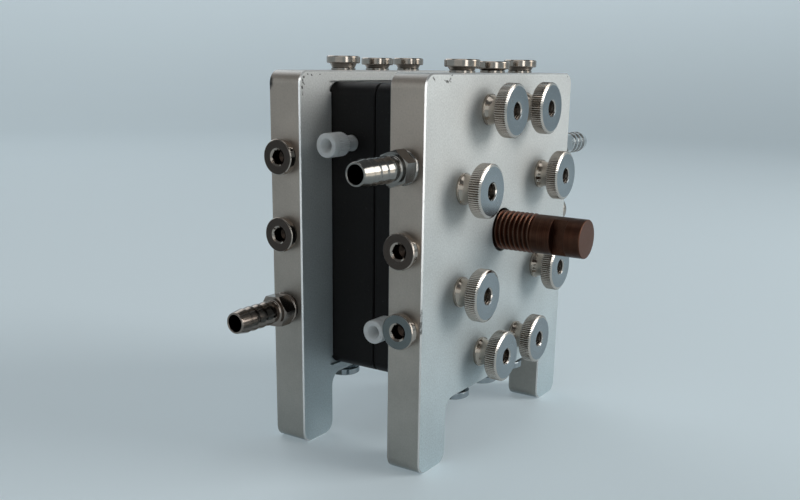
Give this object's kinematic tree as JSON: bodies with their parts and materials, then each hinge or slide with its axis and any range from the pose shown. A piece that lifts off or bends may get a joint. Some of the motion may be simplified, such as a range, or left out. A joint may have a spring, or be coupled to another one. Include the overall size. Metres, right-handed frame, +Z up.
{
  "type": "flow electrochemistry cell",
  "caption": "Upright flow electrochemistry cell: legged metal end plates clamp a plastic cell body with hand nuts, and carry threaded terminals, hose barbs, port plugs and tube fittings.",
  "frame": {"origin": "on the table under the middle of the cell, at the centre of its footprint", "axes": "+X along the plates towards their right edge, +Y from the front plate (hand nuts) to the rear plate, +Z up"},
  "size_m": [0.1802, 0.1414, 0.1519],
  "materials": {
    "blasted_aluminium": "bead blasted, clear anodised",
    "black_plastic": "milled, satin",
    "oxidised_copper": "turned copper, dark brown oxide",
    "bright_copper": "milled copper",
    "nickel_plate": "polished nickel plate",
    "stainless_steel": "turned stainless steel",
    "white_plastic": "natural, slightly translucent",
    "seal_rubber": "smooth black rubber",
    "graphite": "machined graphite",
    "membrane_film": "dark film"
  },
  "bodies": {
    "cell": {"front_bottom_plug_1": "nickel_plate", "front_bottom_plug_2": "nickel_plate", "front_bottom_plug_3": "nickel_plate", "front_current_collector": "bright_copper", "front_electrode": "graphite", "front_end_plate": "blasted_aluminium", "front_gasket": "seal_rubber", "front_half_cell": "black_plastic", "front_left_ferrule": "white_plastic", "front_left_hose_barb": "nickel_plate", "front_left_plug_1": "nickel_plate", "front_left_plug_2": "nickel_plate", "front_port_seals": "seal_rubber", "front_right_ferrule": "white_plastic", "front_right_hose_barb": "nickel_plate", "front_right_plug_1": "nickel_plate", "front_right_plug_2": "nickel_plate", "front_terminal": "oxidised_copper", "front_terminal_seal": "seal_rubber", "front_top_plug_1": "nickel_plate", "front_top_plug_2": "nickel_plate", "front_top_plug_3": "nickel_plate", "membrane": "membrane_film", "rear_bottom_plug_1": "nickel_plate", "rear_bottom_plug_2": "nickel_plate", "rear_bottom_plug_3": "nickel_plate", "rear_current_collector": "bright_copper", "rear_electrode": "graphite", "rear_end_plate": "blasted_aluminium", "rear_gasket": "seal_rubber", "rear_half_cell": "black_plastic", "rear_left_ferrule": "white_plastic", "rear_left_hose_barb": "nickel_plate", "rear_left_plug_1": "nickel_plate", "rear_left_plug_2": "nickel_plate", "rear_port_seals": "seal_rubber", "rear_right_ferrule": "white_plastic", "rear_right_hose_barb": "nickel_plate", "rear_right_plug_1": "nickel_plate", "rear_right_plug_2": "nickel_plate", "rear_terminal": "oxidised_copper", "rear_terminal_seal": "seal_rubber", "rear_top_plug_1": "nickel_plate", "rear_top_plug_2": "nickel_plate", "rear_top_plug_3": "nickel_plate", "rod_washers": "stainless_steel", "tie_rods": "stainless_steel"},
    "hand_nut_1": {"thumb_nut_1": "nickel_plate"},
    "hand_nut_2": {"thumb_nut_2": "nickel_plate"},
    "hand_nut_3": {"thumb_nut_3": "nickel_plate"},
    "hand_nut_4": {"thumb_nut_4": "nickel_plate"},
    "hand_nut_5": {"thumb_nut_5": "nickel_plate"},
    "hand_nut_6": {"thumb_nut_6": "nickel_plate"},
    "hand_nut_7": {"thumb_nut_7": "nickel_plate"},
    "hand_nut_8": {"thumb_nut_8": "nickel_plate"},
    "front_left_fitting": {"front_left_tube_fitting": "white_plastic"},
    "front_right_fitting": {"front_right_tube_fitting": "white_plastic"},
    "rear_left_fitting": {"rear_left_tube_fitting": "white_plastic"},
    "rear_right_fitting": {"rear_right_tube_fitting": "white_plastic"}
  },
  "joints": [
    {"name": "nut_1_turn", "type": "hinge", "parent": "cell", "child": "hand_nut_1", "pos_m": [-0.015, -0.0406, 0.13315], "axis": [0, -1, 0], "continuous": true},
    {"name": "nut_2_turn", "type": "hinge", "parent": "cell", "child": "hand_nut_2", "pos_m": [0.015, -0.0406, 0.13315], "axis": [0, -1, 0], "continuous": true},
    {"name": "nut_3_turn", "type": "hinge", "parent": "cell", "child": "hand_nut_3", "pos_m": [-0.0325, -0.0406, 0.10515], "axis": [0, -1, 0], "continuous": true},
    {"name": "nut_4_turn", "type": "hinge", "parent": "cell", "child": "hand_nut_4", "pos_m": [0.0325, -0.0406, 0.10515], "axis": [0, -1, 0], "continuous": true},
    {"name": "nut_5_turn", "type": "hinge", "parent": "cell", "child": "hand_nut_5", "pos_m": [-0.0325, -0.0406, 0.06615], "axis": [0, -1, 0], "continuous": true},
    {"name": "nut_6_turn", "type": "hinge", "parent": "cell", "child": "hand_nut_6", "pos_m": [0.0325, -0.0406, 0.06615], "axis": [0, -1, 0], "continuous": true},
    {"name": "nut_7_turn", "type": "hinge", "parent": "cell", "child": "hand_nut_7", "pos_m": [-0.015, -0.0406, 0.03815], "axis": [0, -1, 0], "continuous": true},
    {"name": "nut_8_turn", "type": "hinge", "parent": "cell", "child": "hand_nut_8", "pos_m": [0.015, -0.0406, 0.03815], "axis": [0, -1, 0], "continuous": true},
    {"name": "front_left_fitting_turn", "type": "hinge", "parent": "cell", "child": "front_left_fitting", "pos_m": [-0.048, -0.01085, 0.05165], "axis": [-1, 0, 0], "continuous": true},
    {"name": "front_right_fitting_turn", "type": "hinge", "parent": "cell", "child": "front_right_fitting", "pos_m": [0.048, -0.01085, 0.11965], "axis": [1, 0, 0], "continuous": true},
    {"name": "rear_left_fitting_turn", "type": "hinge", "parent": "cell", "child": "rear_left_fitting", "pos_m": [-0.048, 0.01085, 0.11965], "axis": [-1, 0, 0], "continuous": true},
    {"name": "rear_right_fitting_turn", "type": "hinge", "parent": "cell", "child": "rear_right_fitting", "pos_m": [0.048, 0.01085, 0.05165], "axis": [1, 0, 0], "continuous": true}
  ]
}
